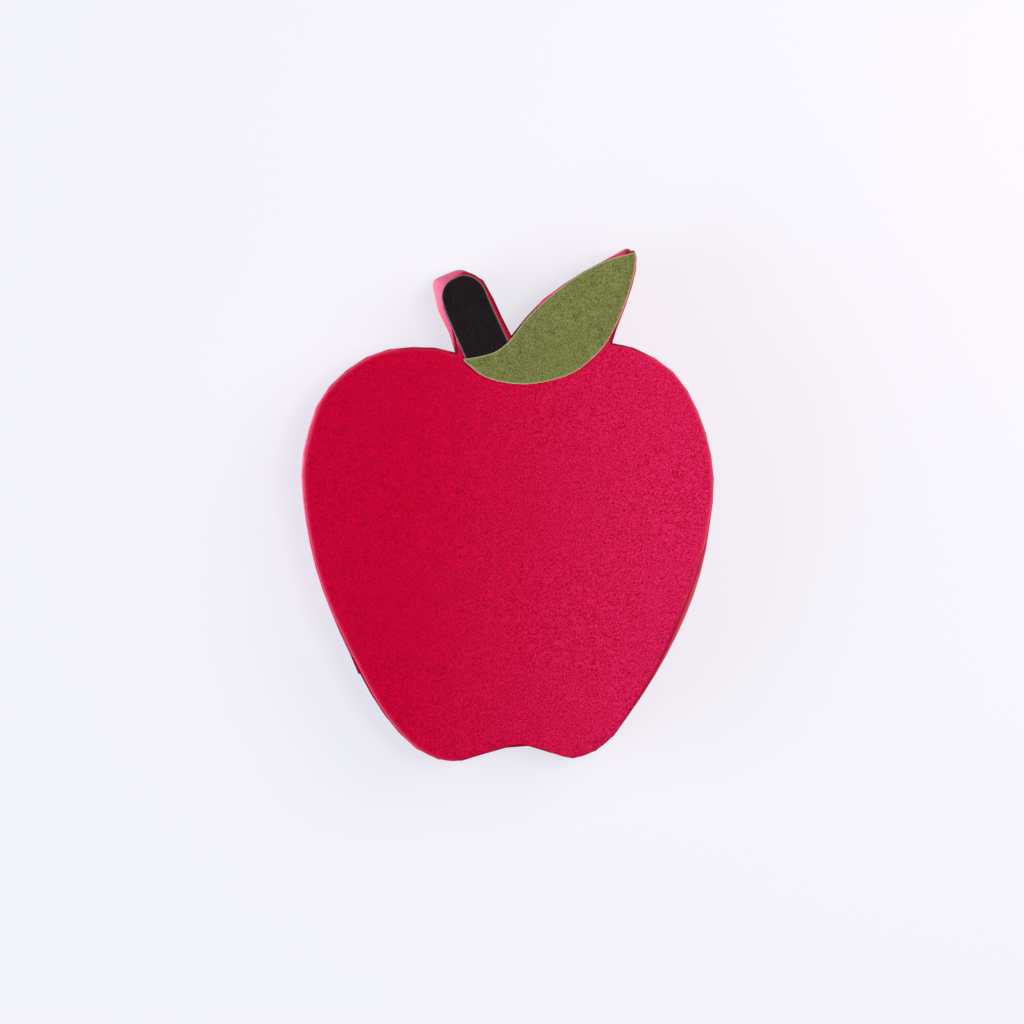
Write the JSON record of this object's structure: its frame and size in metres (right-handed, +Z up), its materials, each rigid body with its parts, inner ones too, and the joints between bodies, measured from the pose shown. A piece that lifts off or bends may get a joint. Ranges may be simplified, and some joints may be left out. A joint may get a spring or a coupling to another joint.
{
  "type": "apple-shaped gift box",
  "caption": "Closed two-part card gift box in the outline of an apple, with a scored wall, a black stem and a green leaf glued on its face.",
  "frame": {"origin": "on the surface that the box lies on, under the middle of its bounding box", "axes": "+Z up, out of the front panel; +Y from the apple's base to its stem; +X to the right as the front panel is seen"},
  "size_m": [0.1148, 0.1432, 0.0262],
  "materials": {
    "crimson_card": "matte",
    "black_card": "matte",
    "olive_card": "matte"
  },
  "bodies": {
    "root": {"lid_panel": "crimson_card", "lid_wall_left": "crimson_card", "lid_wall_right": "crimson_card", "tray_panel": "crimson_card", "tray_wall_left": "crimson_card", "tray_wall_right": "crimson_card", "stem_overlay": "black_card", "leaf_overlay": "olive_card"}
  },
  "joints": []
}
